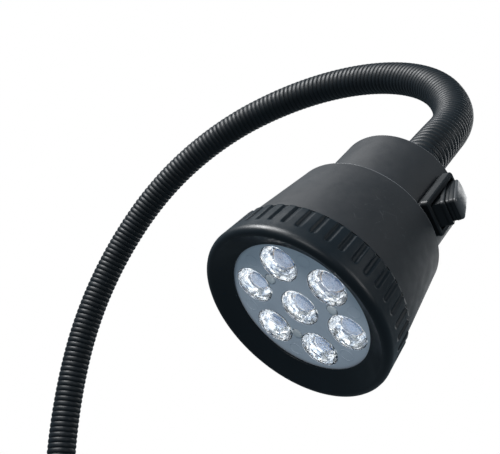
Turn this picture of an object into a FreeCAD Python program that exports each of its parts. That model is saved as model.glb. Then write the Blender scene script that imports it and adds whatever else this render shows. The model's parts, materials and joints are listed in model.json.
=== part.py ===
import FreeCAD, Part
import Sketcher
import math
import os

# A flexible-arm LED spotlight. A screw-down round base carries a ribbed gooseneck in ten arcs, and the
# gooseneck carries a flared head with seven LEDs, a screw-on front ring and a rocker switch on its neck.
# +Z is up, and the origin is the middle of the underside of the base, where it meets what it is fixed to.

V = FreeCAD.Vector
Rotation = FreeCAD.Rotation
Placement = FreeCAD.Placement

LINK_COUNT = 10
LENSES_ROUND_MIDDLE = 6
DRIVER_BOARD_THICKNESS = 1.2
WIRE_SPOT_RATIO = 0.72

# How far each arc of the gooseneck bends, and which way it bends, counted about the tube from the +X side.
BENDS = [10, 14, 18, 22, 20, 20, 26, 32, 29, 15]
HEADINGS = [-64, -60, -77, -74, -75, -88, -98, -104, -132, -66]

DRIVING_SIZES = {
    # base
    "pad_radius": 38, "pad_thickness": 1.5, "flange_thickness": 6, "flange_fall": 1, "boss_radius": 16,
    "boss_top": 30, "cable_way_radius": 7.1, "screw_circle_radius": 30, "screw_hole_radius": 2.6,
    "screw_head_radius": 5, "screw_count": 4, "flat_depth": 0.6,
    # cable gland
    "gland_height": 19, "gland_thread_radius": 6, "gland_bore_radius": 3.3, "gland_flats": 17,
    "gland_hex_length": 4.5, "gland_collar_length": 6, "gland_nut_length": 10, "gland_seal_wall": 1.4,
    # lower end of the gooseneck
    "lock_nut_flats": 26, "lock_nut_thickness": 5.8, "ferrule_radius": 12, "ferrule_mouth_radius": 10,
    "ferrule_top": 62, "ferrule_taper": 6, "tube_socket_depth": 12, "tube_insert": 11,
    "spigot_length": 14, "grub_screw_radius": 1.5, "grub_screw_below_mouth": 8,
    # gooseneck
    "foot_rise": 38, "link_length": 49, "sleeve_radius": 8, "sleeve_bore": 6, "core_radius": 5.8,
    "core_bore": 4, "lead_radius": 2.6, "joint_gap": 0.3, "dome_height": 3, "neck_insert": 8,
    "fit_gap": 0.15, "turned_down": 0.05,
    # head housing
    "neck_radius": 21, "neck_length": 24.5, "shoulder_radius": 25.1, "body_radius": 28.2, "body_end": 52.4,
    "spigot_radius": 26.6, "spigot_end": 59, "neck_wall": 2.3, "rear_wall": 3, "tube_boss_radius": 10.8,
    "web_thickness": 1.9, "ledge_at": 26.7, "fin_room_radius": 22.6, "seat_at": 43.9, "seat_radius": 24.4,
    "edge_break": 0.45,
    # front ring
    "ring_start": 52.7, "ring_rear_radius": 28.86, "ring_front_radius": 29.65, "ring_front": 65.74,
    "ring_shade_radius": 27.3, "ring_mouth_radius": 22.1, "ring_mouth_at": 62.1, "groove_count": 44,
    "groove_width": 1.4, "groove_end": 60.6, "groove_floor_radius": 28.15, "groove_angle": 163.2,
    # light engine
    "lens_circle_radius": 15, "lens_radius": 6.15, "lens_tail_radius": 3, "lens_tail_at": 51.6,
    "lens_face": 61.3, "plate_radius": 22.8, "plate_flange_radius": 23.9, "plate_back": 58.6,
    "plate_step": 59.8, "lens_angle": 163.2, "lens_screw_circle": 11.3, "lens_screw_angle": 73.2,
    "board_back": 48.5, "board_front": 50.1, "thermal_pad_thickness": 0.4, "sink_back": 31,
    "sink_hub_radius": 9, "sink_slot_width": 2.2, "sink_slot_count": 16, "chip_size": 3.5,
    # rocker switch
    "switch_along": 13.4, "switch_angle": 78.5, "bezel_length": 17.6, "bezel_width": 12,
    "bezel_back": 22.4, "bezel_face": 24.8, "switch_body_length": 16.4, "switch_body_width": 10,
    "switch_back": 12.6, "rocker_pivot": 23.9, "rocker_tilt": 21, "blade_tilt": 6, "blade_height": 17.2,
}


class Size:
    """A number together with the sheet expression that gives it, so sums on it stay bound to the sheet."""

    def __init__(self, value, text):
        self.value = float(value)
        self.text = text

    def __add__(self, other):
        other = as_size(other)
        return Size(self.value + other.value, f"({self.text} + {other.text})")

    def __sub__(self, other):
        other = as_size(other)
        return Size(self.value - other.value, f"({self.text} - {other.text})")

    def __mul__(self, other):
        other = as_size(other)
        return Size(self.value * other.value, f"({self.text} * {other.text})")

    def __truediv__(self, other):
        other = as_size(other)
        return Size(self.value / other.value, f"({self.text} / {other.text})")

    def __neg__(self):
        return Size(-self.value, f"(0 - {self.text})")

    def __radd__(self, other):
        return as_size(other) + self

    def __rsub__(self, other):
        return as_size(other) - self

    def __rmul__(self, other):
        return as_size(other) * self


def as_size(value):
    """Any plain number or Size, as a Size."""
    if isinstance(value, Size):
        return value
    return Size(value, f"{float(value):.6g}")


def number(value):
    """The plain number of a Size or a number."""
    return as_size(value).value


class Sizes:
    """The sheet's cells by alias, each as a Size."""

    def __init__(self, sheet):
        self._sheet = sheet

    def __getattr__(self, alias):
        return Size(self._sheet.get(alias), f"{self._sheet.Name}.{alias}")


def make_sheet(doc):
    """The spreadsheet of driving sizes: a note, a number and an alias in each row."""
    sheet = doc.addObject("Spreadsheet::Sheet", "Dims")
    cells = dict(DRIVING_SIZES)
    for index, (bend, heading) in enumerate(zip(BENDS, HEADINGS), 1):
        cells[f"bend_{index}"] = bend
        cells[f"heading_{index}"] = heading
    for row, (alias, value) in enumerate(cells.items(), 1):
        sheet.set(f"A{row}", alias.replace("_", " "))
        sheet.set(f"B{row}", str(value))
        sheet.setAlias(f"B{row}", alias)
    doc.recompute()
    return sheet


doc = FreeCAD.newDocument("flexible_arm_spotlight")
d = Sizes(make_sheet(doc))
sub_parts = []


# ---------------------------------------------------------------- small helpers

def bind(item, **sizes):
    """Binds each named property of a document object to its size in the sheet."""
    for prop, size in sizes.items():
        item.setExpression(prop, as_size(size).text)


def keep(item, label, place=None):
    """Marks a document object as a sub-part, with its file name and its place in the light."""
    item.Label = label
    if place is not None:
        item.Placement = place
    sub_parts.append(item)
    return item


def at(x=0, y=0, z=0, axis=V(0, 0, 1), angle=0):
    """A placement from sizes or numbers."""
    return Placement(V(number(x), number(y), number(z)), Rotation(axis, number(angle)))


def primitive(kind, name, place=None, **sizes):
    """A Part primitive with its sizes bound to the sheet."""
    item = doc.addObject(f"Part::{kind}", name)
    bind(item, **sizes)
    if place is not None:
        item.Placement = place
    return item


def cylinder(name, radius, height, place=None):
    return primitive("Cylinder", name, place, Radius=radius, Height=height)


def box(name, length, width, height, place=None):
    """A box centred on its own X and Y, standing on Z = 0 of its place."""
    centred = at(number(length) / -2, number(width) / -2)
    place = centred if place is None else place * centred
    return primitive("Box", name, place, Length=length, Width=width, Height=height)


def cut(name, base, *tools):
    """The base without each tool in turn."""
    for index, tool in enumerate(tools):
        item = doc.addObject("Part::Cut", f"{name}_cut_{index}")
        item.Base = base
        item.Tool = tool
        base = item
    return base


def fuse(name, *shapes):
    item = doc.addObject("Part::MultiFuse", name)
    item.Shapes = list(shapes)
    item.Refine = False
    return item


def group(name, shapes):
    """Several separate solids as one sub-part."""
    item = doc.addObject("Part::Compound", name)
    item.Links = list(shapes)
    return item


def hexagon(name, flats, height, place=None):
    """A hexagonal prism, by its width across flats."""
    item = primitive("Prism", name, place, Circumradius=flats * (1 / math.sqrt(3)), Height=height)
    item.Polygon = 6
    return item


def new_body(name):
    return doc.addObject("PartDesign::Body", name)


def origin_plane(body, role):
    return next(item for item in body.Origin.OriginFeatures if item.Role == role)


def sketch_on(body, name, role, offset=None):
    """A sketch on one of a body's own origin planes, moved off it by an offset placement."""
    sketch = body.newObject("Sketcher::SketchObject", name)
    sketch.AttachmentSupport = [(origin_plane(body, role), "")]
    sketch.MapMode = "FlatFace"
    if offset is not None:
        sketch.AttachmentOffset = offset
    return sketch


def pin_point(sketch, geometry, end, across, up):
    """Holds a point of the sketch at its bound distances from the sketch's origin."""
    for kind, value in (("DistanceX", across), ("DistanceY", up)):
        size = as_size(value)
        index = sketch.addConstraint(Sketcher.Constraint(kind, -1, 1, geometry, end, size.value))
        sketch.setExpression(f"Constraints[{index}]", size.text)


def outline(sketch, points):
    """A closed outline of straight edges through the points, each held in place."""
    corners = [V(number(x), number(y), 0) for x, y in points]
    first = sketch.GeometryCount
    count = len(points)
    for index in range(count):
        sketch.addGeometry(Part.LineSegment(corners[index], corners[(index + 1) % count]), False)
    for index in range(count):
        following = first + (index + 1) % count
        sketch.addConstraint(Sketcher.Constraint("Coincident", first + index, 2, following, 1))
        pin_point(sketch, first + index, 1, *points[index])
    return sketch


def circle(sketch, across, up, radius):
    """A circle held in place and in size."""
    centre = V(number(across), number(up), 0)
    index = sketch.addGeometry(Part.Circle(centre, V(0, 0, 1), number(radius)), False)
    pin_point(sketch, index, 3, across, up)
    size = as_size(radius)
    held = sketch.addConstraint(Sketcher.Constraint("Radius", index, size.value))
    sketch.setExpression(f"Constraints[{held}]", size.text)
    return sketch


def turned(name, points):
    """A body turned about +Z from an outline of (radius, height) points."""
    body = new_body(name)
    profile = outline(sketch_on(body, f"{name}_profile", "XZ_Plane"), points)
    turn = body.newObject("PartDesign::Revolution", f"{name}_turn")
    turn.Profile = profile
    turn.ReferenceAxis = (profile, ["V_Axis"])
    turn.Angle = 360
    body.Tip = turn
    return body


def add_pad(body, sketch, length, name):
    pad = body.newObject("PartDesign::Pad", name)
    pad.Profile = sketch
    bind(pad, Length=length)
    body.Tip = pad
    return pad


def add_pocket(body, sketch, name, length=None, reverse=False):
    """Cuts the sketch out of the body, to a depth or all the way, and checks that it does cut."""
    doc.recompute()
    before = body.Shape.Volume
    pocket = body.newObject("PartDesign::Pocket", name)
    pocket.Profile = sketch
    pocket.Reversed = reverse
    if length is None:
        pocket.Type = "ThroughAll"
    else:
        bind(pocket, Length=length)
    body.Tip = pocket
    doc.recompute()
    if not body.Shape.Volume < before - 1e-6:
        raise RuntimeError(f"{name} cuts nothing")
    return pocket


def ring_of(body, feature, count, name):
    """Repeats a feature round the body's Z axis."""
    pattern = body.newObject("PartDesign::PolarPattern", name)
    pattern.Originals = [feature]
    pattern.Axis = (origin_plane(body, "Z_Axis"), [""])
    pattern.Angle = 360
    bind(pattern, Occurrences=count)
    body.Tip = pattern
    doc.recompute()
    return pattern


def polar(radius, angle):
    """The point at a radius and an angle about Z."""
    turn = math.radians(number(angle))
    return number(radius) * math.cos(turn), number(radius) * math.sin(turn)


# ---------------------------------------------------------------- base

def make_base_pad():
    """A rubber pad between the base and what it is screwed to."""
    body = new_body("base_pad")
    face = sketch_on(body, "base_pad_outline", "XY_Plane")
    circle(face, 0, 0, d.pad_radius)
    circle(face, 0, 0, d.cable_way_radius)
    add_pad(body, face, d.pad_thickness, "base_pad_sheet")
    hole = sketch_on(body, "base_pad_screw_hole", "XY_Plane")
    circle(hole, d.screw_circle_radius, 0, d.screw_hole_radius)
    pocket = add_pocket(body, hole, "base_pad_hole", reverse=True)
    ring_of(body, pocket, d.screw_count, "base_pad_holes")
    keep(body, "base_pad")


def make_base_flange():
    """The round base: a flange with countersunk screw holes, and a boss for the gooseneck and the gland."""
    low = d.pad_thickness
    edge = low + d.flange_thickness - d.flange_fall
    rim = 1.2
    body = turned("base_flange", [
        (d.cable_way_radius, low), (d.pad_radius, low), (d.pad_radius, edge - rim),
        (d.pad_radius - rim, edge), (d.boss_radius + 3, low + d.flange_thickness),
        (d.boss_radius, low + d.flange_thickness + 3), (d.boss_radius, d.boss_top - 1),
        (d.boss_radius - 1, d.boss_top), (d.cable_way_radius, d.boss_top),
    ])
    doc.recompute()
    lift = at(z=low + d.flange_thickness)
    spots = sketch_on(body, "base_screw_spot", "XY_Plane", lift)
    circle(spots, d.screw_circle_radius, 0, d.screw_hole_radius)
    doc.recompute()
    hole = body.newObject("PartDesign::Hole", "base_screw_hole")
    hole.Profile = spots
    hole.HoleCutType = "Countersink"
    hole.HoleCutCustomValues = True
    hole.DepthType = "ThroughAll"
    bind(hole, Diameter=d.screw_hole_radius * 2, HoleCutDiameter=d.screw_head_radius * 2)
    hole.HoleCutCountersinkAngle = 90
    body.Tip = hole
    doc.recompute()
    ring_of(body, hole, d.screw_count, "base_screw_holes")
    flat = sketch_on(body, "gland_flat", "XZ_Plane", at(z=-(d.boss_radius - d.flat_depth)))
    circle(flat, 0, d.gland_height, d.gland_flats * 0.62)
    add_pocket(body, flat, "gland_seat", length=d.flat_depth * 5)
    way = sketch_on(body, "gland_way", "XZ_Plane")
    circle(way, 0, d.gland_height, d.gland_thread_radius + 0.1)
    add_pocket(body, way, "gland_hole", length=d.boss_radius * 2)
    keep(body, "base_flange")


def gland_place(along):
    """A place on the gland's axis, with Z pointing out of the base."""
    start = V(0, number(d.boss_radius - d.flat_depth) + number(along), number(d.gland_height))
    return Placement(start, Rotation(V(1, 0, 0), -90))


def make_gland_body():
    """The gland's body: a thread into the boss, a hexagon, and the collar that the nut screws onto."""
    reach = 6.0
    whole_length = d.gland_hex_length + d.gland_collar_length
    spigot = cylinder("gland_spigot", d.gland_thread_radius, d.gland_hex_length + reach, gland_place(-reach))
    hexes = hexagon("gland_hex", d.gland_flats, d.gland_hex_length, gland_place(0))
    collar = cylinder("gland_collar", d.gland_thread_radius + 0.5, whole_length, gland_place(0))
    whole = fuse("gland_solid", spigot, hexes, collar)
    bore = cylinder("gland_bore", d.gland_bore_radius + 0.2, 40, gland_place(-10))
    seat_radius = d.gland_bore_radius + d.gland_seal_wall
    seat = cylinder("gland_seat_bore", seat_radius, d.gland_collar_length, gland_place(d.gland_hex_length))
    keep(cut("gland_body", whole, bore, seat), "gland_body")


def make_gland_seal():
    """The rubber sleeve that grips the cable."""
    place = gland_place(d.gland_hex_length)
    outer = cylinder("seal_outer", d.gland_bore_radius + d.gland_seal_wall, d.gland_collar_length, place)
    inner = cylinder("seal_inner", d.gland_bore_radius, d.gland_collar_length, place)
    keep(cut("gland_seal", outer, inner), "gland_seal")


def make_gland_nut():
    """The domed nut that squeezes the seal."""
    place = gland_place(d.gland_hex_length + 0.5)
    flats = hexagon("nut_hex", d.gland_flats, d.gland_nut_length * 0.55, place)
    dome = primitive("Cone", "nut_dome", place, Radius1=d.gland_flats / 2, Radius2=d.gland_bore_radius + 1.9,
                     Height=d.gland_nut_length)
    nut = fuse("nut_solid", flats, dome)
    thread = cylinder("nut_thread", d.gland_thread_radius + 0.6, d.gland_collar_length - 0.4, place)
    bore = cylinder("nut_bore", d.gland_bore_radius + 0.3, 30, place)
    keep(cut("gland_nut", nut, thread, bore), "gland_nut")


def make_lower_ferrule():
    """The ferrule that holds the foot of the gooseneck, screwed into the boss."""
    nut_top = d.boss_top + d.lock_nut_thickness
    foot = d.boss_top - d.spigot_length
    socket = d.ferrule_top - d.tube_socket_depth
    ferrule = turned("lower_ferrule", [
        (d.core_bore + 0.4, foot), (d.cable_way_radius - 0.1, foot),
        (d.cable_way_radius - 0.1, nut_top),
        (d.ferrule_radius - 0.6, nut_top), (d.ferrule_radius, nut_top + 0.6),
        (d.ferrule_radius, d.ferrule_top - d.ferrule_taper),
        (d.ferrule_mouth_radius + 0.4, d.ferrule_top - 0.4),
        (d.ferrule_mouth_radius, d.ferrule_top), (d.sleeve_radius + d.fit_gap, d.ferrule_top),
        (d.sleeve_radius + d.fit_gap, socket), (d.core_bore + 0.4, socket),
    ])
    screw_way = sketch_on(ferrule, "grub_screw_way", "XZ_Plane")
    circle(screw_way, 0, d.ferrule_top - d.grub_screw_below_mouth, d.grub_screw_radius + 0.05)
    way = add_pocket(ferrule, screw_way, "grub_screw_hole")
    way.Midplane = True
    keep(ferrule, "lower_ferrule")


def make_lower_lock_nut():
    """The nut that locks the ferrule against the boss."""
    nut = hexagon("lock_nut_hex", d.lock_nut_flats, d.lock_nut_thickness, at(z=d.boss_top))
    trim = primitive("Cone", "lock_nut_trim", at(z=d.boss_top - 0.01), Radius1=d.lock_nut_flats * 0.64,
                     Radius2=d.lock_nut_flats * 0.52, Height=d.lock_nut_thickness + 0.02)
    rounded = doc.addObject("Part::Common", "lock_nut_blank")
    rounded.Base = nut
    rounded.Tool = trim
    thread = cylinder("lock_nut_thread", d.cable_way_radius, 40, at(z=d.boss_top - 10))
    keep(cut("lower_lock_nut", rounded, thread), "lower_lock_nut")


def make_grub_screws():
    """The two grub screws that hold the gooseneck in the ferrule."""
    height = number(d.ferrule_top - d.grub_screw_below_mouth)
    length = d.ferrule_radius - d.sleeve_radius - 0.7
    screws = []
    for side in (1, -1):
        turn = Rotation(V(1, 0, 0), -90 * side)
        place = Placement(V(0, side * (number(d.sleeve_radius) + 0.2), height), turn)
        shank = cylinder(f"grub_shank_{side}", d.grub_screw_radius, length, place)
        socket = hexagon(f"grub_socket_{side}", d.grub_screw_radius * 0.9, 1.2, place * at(z=length - 1.1))
        screws.append(cut(f"grub_screw_{side}", shank, socket))
    keep(group("ferrule_grub_screws_set", screws), "ferrule_grub_screws")


# ---------------------------------------------------------------- gooseneck

def link_size(index, word):
    """One of a link's own cells."""
    return getattr(d, f"{word}_{index}")


def bend_radius(index):
    return d.link_length * (180 / math.pi) / link_size(index, "bend")


def link_end(index):
    """From a link's start to its end, in the link's own frame, where it bends towards +X."""
    bend = math.radians(number(link_size(index, "bend")))
    radius = number(bend_radius(index))
    end = V(radius * (1 - math.cos(bend)), 0, radius * math.sin(bend))
    return Placement(end, Rotation(V(0, 1, 0), math.degrees(bend)))


def gooseneck_frames():
    """The frame at each link's start, with +Z along the tube and +X the way it bends, and the head's frame."""
    frames = []
    frame = at(z=d.ferrule_top + d.foot_rise)
    for index in range(1, LINK_COUNT + 1):
        heading = number(link_size(index, "heading"))
        frames.append(frame * at(angle=heading))
        frame = frames[-1] * link_end(index) * at(angle=-heading)
    return frames, frame


LINK_FRAMES, HEAD_FRAME = gooseneck_frames()


def arc_rod(name, index, radius):
    """A solid rod of one radius along a link's arc."""
    across = bend_radius(index)
    lay_down = Rotation(V(-1, 0, 0), V(0, 0, 1), V(0, 1, 0), "ZXY")
    place = Placement(V(number(across), 0, 0), lay_down)
    return primitive("Torus", name, place, Radius1=across, Radius2=radius, Angle3=link_size(index, "bend"))


def link_tube(name, index, radius, bore):
    """A tube along a link's arc, with a dome about its far joint and a cup round the dome before it."""
    last = index == LINK_COUNT
    tip = link_end(index)
    reach = d.neck_insert if last else d.dome_height
    eased = bore + d.turned_down
    solids = [arc_rod(f"{name}_rod", index, radius)]
    bores = [arc_rod(f"{name}_bore_rod", index, bore), cylinder(f"{name}_bore_tip", eased, reach + 1, tip)]
    if not last:
        latitude = math.degrees(math.asin(number(d.dome_height) / number(radius)))
        dome = primitive("Sphere", f"{name}_dome", tip, Radius=radius)
        dome.Angle1 = 0
        dome.Angle2 = latitude
        solids.append(dome)
    else:
        solids.append(cylinder(f"{name}_tip", radius - d.turned_down, reach, tip))
    if index == 1:
        foot = d.foot_rise + d.tube_insert
        solids.append(cylinder(f"{name}_foot", radius - d.turned_down, foot, at(z=-foot)))
        bores.append(cylinder(f"{name}_bore_foot", eased, foot + 1, at(z=-foot - 1)))
    tools = [fuse(f"{name}_hollow", *bores)]
    if index > 1:
        tools.append(primitive("Sphere", f"{name}_cup", at(), Radius=d.sleeve_radius + d.joint_gap))
    return cut(name, fuse(f"{name}_solid", *solids), *tools)


def link_lead(name, index):
    """The lead inside a link, with a ball at its far end and a hollow round the ball before it."""
    tip = link_end(index)
    solids = [arc_rod(f"{name}_rod", index, d.lead_radius)]
    if index == 1:
        down = d.ferrule_top + d.foot_rise - d.gland_height
        solids.append(cylinder(f"{name}_foot", d.lead_radius - d.turned_down, down, at(z=-down)))
    if index == LINK_COUNT:
        solids.append(cylinder(f"{name}_end", d.lead_radius - d.turned_down, d.neck_insert + 5, tip))
    else:
        solids.append(primitive("Sphere", f"{name}_tip", tip, Radius=d.lead_radius))
    lead = fuse(f"{name}_solid", *solids)
    if index == 1:
        return lead
    return cut(name, lead, primitive("Sphere", f"{name}_cup", at(), Radius=d.lead_radius + d.joint_gap))


def make_gooseneck_link(index):
    """One stretch of the arm: the sleeve, the steel core and the lead inside."""
    frame = LINK_FRAMES[index - 1]
    number_word = f"{index:02d}"
    sleeve = link_tube(f"sleeve_{number_word}", index, d.sleeve_radius, d.sleeve_bore)
    keep(sleeve, f"sleeve_{number_word}", frame)
    core = link_tube(f"core_{number_word}", index, d.core_radius, d.core_bore)
    keep(core, f"core_{number_word}", frame)
    keep(link_lead(f"lead_{number_word}", index), f"lead_{number_word}", frame)


# ---------------------------------------------------------------- head

def make_head_housing():
    """The flared housing: neck, sharp shoulder, tapered body and the threaded spigot for the front ring."""
    edge = d.edge_break
    bore = d.sleeve_radius + d.fit_gap
    web = d.neck_insert + 0.1
    housing = turned("head_housing", [
        (bore, 0), (d.neck_radius - edge, 0), (d.neck_radius, edge), (d.neck_radius, d.neck_length),
        (d.shoulder_radius - edge, d.neck_length), (d.shoulder_radius, d.neck_length + edge),
        (d.body_radius, d.body_end), (d.spigot_radius, d.body_end), (d.spigot_radius, d.spigot_end),
        (d.seat_radius, d.spigot_end), (d.seat_radius, d.seat_at), (d.fin_room_radius, d.seat_at),
        (d.fin_room_radius, d.ledge_at), (d.neck_radius - d.neck_wall, d.ledge_at),
        (d.neck_radius - d.neck_wall, d.rear_wall), (d.tube_boss_radius, d.rear_wall),
        (d.tube_boss_radius, web + d.web_thickness), (d.core_radius + 0.1, web + d.web_thickness),
        (d.core_radius + 0.1, web), (bore, web),
    ])
    opening = sketch_on(housing, "switch_opening", "XZ_Plane")
    opening.AttachmentOffset = Placement(V(0, 0, 0), Rotation(V(0, 1, 0), number(d.switch_angle) + 90))
    half_width = d.switch_body_width / 2 + 0.15
    half_length = d.switch_body_length / 2 + 0.15
    outline(opening, [
        (-half_width, d.switch_along - half_length), (half_width, d.switch_along - half_length),
        (half_width, d.switch_along + half_length), (-half_width, d.switch_along + half_length),
    ])
    add_pocket(housing, opening, "switch_window", length=40, reverse=True)
    keep(housing, "head_housing", HEAD_FRAME)


def make_upper_end():
    """The threaded bush on the head end of the gooseneck, and the ring nut that pulls it against the web."""
    web_end = d.neck_insert + 0.1 + d.web_thickness
    bush = turned("upper_ferrule", [
        (d.lead_radius + 0.4, d.neck_insert), (d.core_radius - 0.1, d.neck_insert),
        (d.core_radius - 0.1, web_end + 3.6), (d.lead_radius + 0.4, web_end + 3.6),
    ])
    keep(bush, "upper_ferrule", HEAD_FRAME)
    nut = turned("upper_lock_nut", [
        (d.core_radius, web_end), (d.core_radius + 2.7, web_end), (d.core_radius + 2.7, web_end + 2.6),
        (d.core_radius + 2.3, web_end + 3), (d.core_radius, web_end + 3),
    ])
    keep(nut, "upper_lock_nut", HEAD_FRAME)


def make_front_ring():
    """The screw-on front ring: grip grooves round its rear half, a rounded lip and a deep shade inside."""
    thread = d.spigot_radius + d.fit_gap
    gasket_room = d.plate_flange_radius + 0.3
    under = d.spigot_end + 0.4
    ring = turned("front_ring", [
        (d.ring_rear_radius - 0.3, d.ring_start), (d.ring_rear_radius, d.ring_start + 0.3),
        (d.ring_front_radius, d.ring_front - 2.6), (d.ring_front_radius - 0.25, d.ring_front - 1.3),
        (d.ring_front_radius - 0.95, d.ring_front - 0.35), (d.ring_front_radius - 1.7, d.ring_front),
        (d.ring_shade_radius, d.ring_front - 0.2), (d.ring_shade_radius - 0.9, d.ring_front - 0.85),
        (d.ring_mouth_radius + 1.6, d.ring_mouth_at + 0.75), (d.ring_mouth_radius, d.ring_mouth_at),
        (d.ring_mouth_radius, d.lens_face + 0.1), (d.plate_radius + 0.3, d.lens_face + 0.1),
        (gasket_room, d.lens_face - 0.1), (gasket_room, under), (thread, under), (thread, d.ring_start),
    ])
    groove = sketch_on(ring, "grip_groove_outline", "XZ_Plane", at(z=d.groove_floor_radius))
    half = d.groove_width / 2
    low = d.ring_start - 1
    shoulder = d.groove_end - half
    step = half * math.sqrt(0.5)
    outline(groove, [
        (-half, low), (half, low), (half, shoulder), (step, shoulder + step), (0, d.groove_end),
        (-step, shoulder + step), (-half, shoulder),
    ])
    pocket = add_pocket(ring, groove, "grip_groove", length=4, reverse=True)
    ring_of(ring, pocket, d.groove_count, "grip_grooves")
    keep(ring, "front_ring", HEAD_FRAME * at(angle=d.groove_angle + 90))


def make_heat_sink():
    """The finned aluminium block behind the LED board, seated on the ledge inside the body."""
    back = d.sink_back
    sink_front = d.board_back - d.thermal_pad_thickness
    body = turned("heat_sink", [
        (0, back), (d.fin_room_radius - 0.4, back), (d.fin_room_radius - 0.4, d.seat_at),
        (d.plate_flange_radius, d.seat_at), (d.plate_flange_radius, sink_front), (0, sink_front),
    ])
    slot = sketch_on(body, "fin_slot", "XY_Plane", at(z=back))
    half = d.sink_slot_width / 2
    outline(slot, [
        (d.sink_hub_radius, -half), (d.fin_room_radius + 2, -half), (d.fin_room_radius + 2, half),
        (d.sink_hub_radius, half),
    ])
    pocket = add_pocket(body, slot, "fin_gap", length=d.seat_at - back - 1, reverse=True)
    ring_of(body, pocket, d.sink_slot_count, "fin_gaps")
    ways = sketch_on(body, "sink_ways", "XY_Plane", at(z=back - 1))
    for angle in screw_angles():
        x, y = polar(d.lens_screw_circle, angle)
        circle(ways, x, y, 0.95)
    for x, y in wire_spots():
        circle(ways, x, y, 1.2)
    add_pocket(body, ways, "sink_drillings", reverse=True)
    keep(body, "heat_sink", HEAD_FRAME)


def screw_angles():
    return [number(d.lens_screw_angle) + 120 * turn for turn in range(3)]


def wire_spots():
    """Where the two LED wires pass through the heat sink and the board."""
    return [polar(19.5, number(d.lens_screw_angle) + 180 + side * 5) for side in (-1, 1)]


def lens_spots():
    """The seven LED positions: one in the middle and six round it."""
    first = number(d.lens_angle)
    step = 360 / LENSES_ROUND_MIDDLE
    turns = range(LENSES_ROUND_MIDDLE)
    return [(0.0, 0.0)] + [polar(d.lens_circle_radius, first + step * turn) for turn in turns]


def drilled_disc(label, radius, thickness, foot):
    """A disc in the head with ways through it for the three lens screws and the two LED wires."""
    disc = cylinder(f"{label}_disc", radius, thickness, at(z=foot))
    drills = []
    for index, angle in enumerate(screw_angles()):
        x, y = polar(d.lens_screw_circle, angle)
        drills.append(cylinder(f"{label}_drill_{index}", 1.0, 10, at(x, y, foot - 5)))
    for index, (x, y) in enumerate(wire_spots()):
        drills.append(cylinder(f"{label}_wire_way_{index}", 1.1, 10, at(x, y, foot - 5)))
    keep(cut(label, disc, fuse(f"{label}_drills", *drills)), label, HEAD_FRAME)


def make_led_board():
    """The thermal pad and the aluminium LED board on the front of the heat sink."""
    pad_back = d.board_back - d.thermal_pad_thickness
    drilled_disc("thermal_pad", d.plate_flange_radius - 1, d.thermal_pad_thickness, pad_back)
    drilled_disc("led_board", d.plate_flange_radius - 0.1, d.board_front - d.board_back, d.board_back)


def make_led_chips():
    """The seven LEDs: a square case with a clear dome on each."""
    chips = []
    for index, (x, y) in enumerate(lens_spots()):
        case = box(f"led_case_{index}", d.chip_size, d.chip_size, 0.8, at(x, y, d.board_front))
        top = at(x, y, d.board_front + 0.8)
        dome = primitive("Sphere", f"led_dome_{index}", top, Radius=d.chip_size * 0.4)
        dome.Angle1 = 0
        chips.append(fuse(f"led_{index}", case, dome))
    keep(group("led_chips_set", chips), "led_chips", HEAD_FRAME)


def make_lens_plate():
    """The seven-in-one lens: a flanged clear plate, a collimating cone behind each window, and three feet."""
    flange_length = d.plate_step - d.plate_back
    face_length = d.lens_face - d.plate_back
    cone_length = d.lens_face - d.lens_tail_at
    foot_length = d.lens_face - d.board_front
    solids = [
        cylinder("lens_flange", d.plate_flange_radius, flange_length, at(z=d.plate_back)),
        cylinder("lens_front", d.plate_radius, face_length, at(z=d.plate_back)),
    ]
    hollows = []
    for index, (x, y) in enumerate(lens_spots()):
        tail = at(x, y, d.lens_tail_at)
        well = at(x, y, d.lens_tail_at - 0.01)
        solids.append(primitive("Cone", f"lens_cone_{index}", tail, Radius1=d.lens_tail_radius,
                                Radius2=d.lens_radius, Height=cone_length))
        hollows.append(primitive("Cone", f"lens_well_{index}", well, Radius1=2.3, Radius2=1.8, Height=4))
    for index, angle in enumerate(screw_angles()):
        x, y = polar(d.lens_screw_circle, angle)
        solids.append(cylinder(f"lens_foot_{index}", 1.9, foot_length, at(x, y, d.board_front)))
        hollows.append(cylinder(f"lens_foot_bore_{index}", 1.0, 20, at(x, y, d.board_front - 1)))
        hollows.append(cylinder(f"lens_foot_sink_{index}", 1.6, 5, at(x, y, d.lens_face - 1.6)))
    lens = cut("lens_plate", fuse("lens_solid", *solids), fuse("lens_hollows", *hollows))
    keep(lens, "lens_plate", HEAD_FRAME)


def make_lens_screws():
    """The three slotted screws through the lens's feet into the heat sink."""
    screws = []
    for index, angle in enumerate(screw_angles()):
        x, y = polar(d.lens_screw_circle, angle)
        head = cylinder(f"lens_screw_head_{index}", 1.45, 1.1, at(x, y, d.lens_face - 1.6))
        shank = cylinder(f"lens_screw_shank_{index}", 0.9, 17, at(x, y, d.lens_face - 18.1))
        slot = box(f"lens_screw_slot_{index}", 3.2, 0.45, 1, at(x, y, d.lens_face - 0.85))
        screws.append(cut(f"lens_screw_{index}", fuse(f"lens_screw_solid_{index}", head, shank), slot))
    keep(group("lens_screws_set", screws), "lens_screws", HEAD_FRAME)


def make_lens_gasket():
    """The soft ring between the lens's flange and the front ring."""
    inner = d.plate_radius + 0.1
    front = d.lens_face - 0.4
    gasket = turned("lens_gasket", [
        (inner, d.plate_step), (d.plate_flange_radius, d.plate_step),
        (d.plate_flange_radius, front), (inner, front),
    ])
    keep(gasket, "lens_gasket", HEAD_FRAME)


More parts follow.
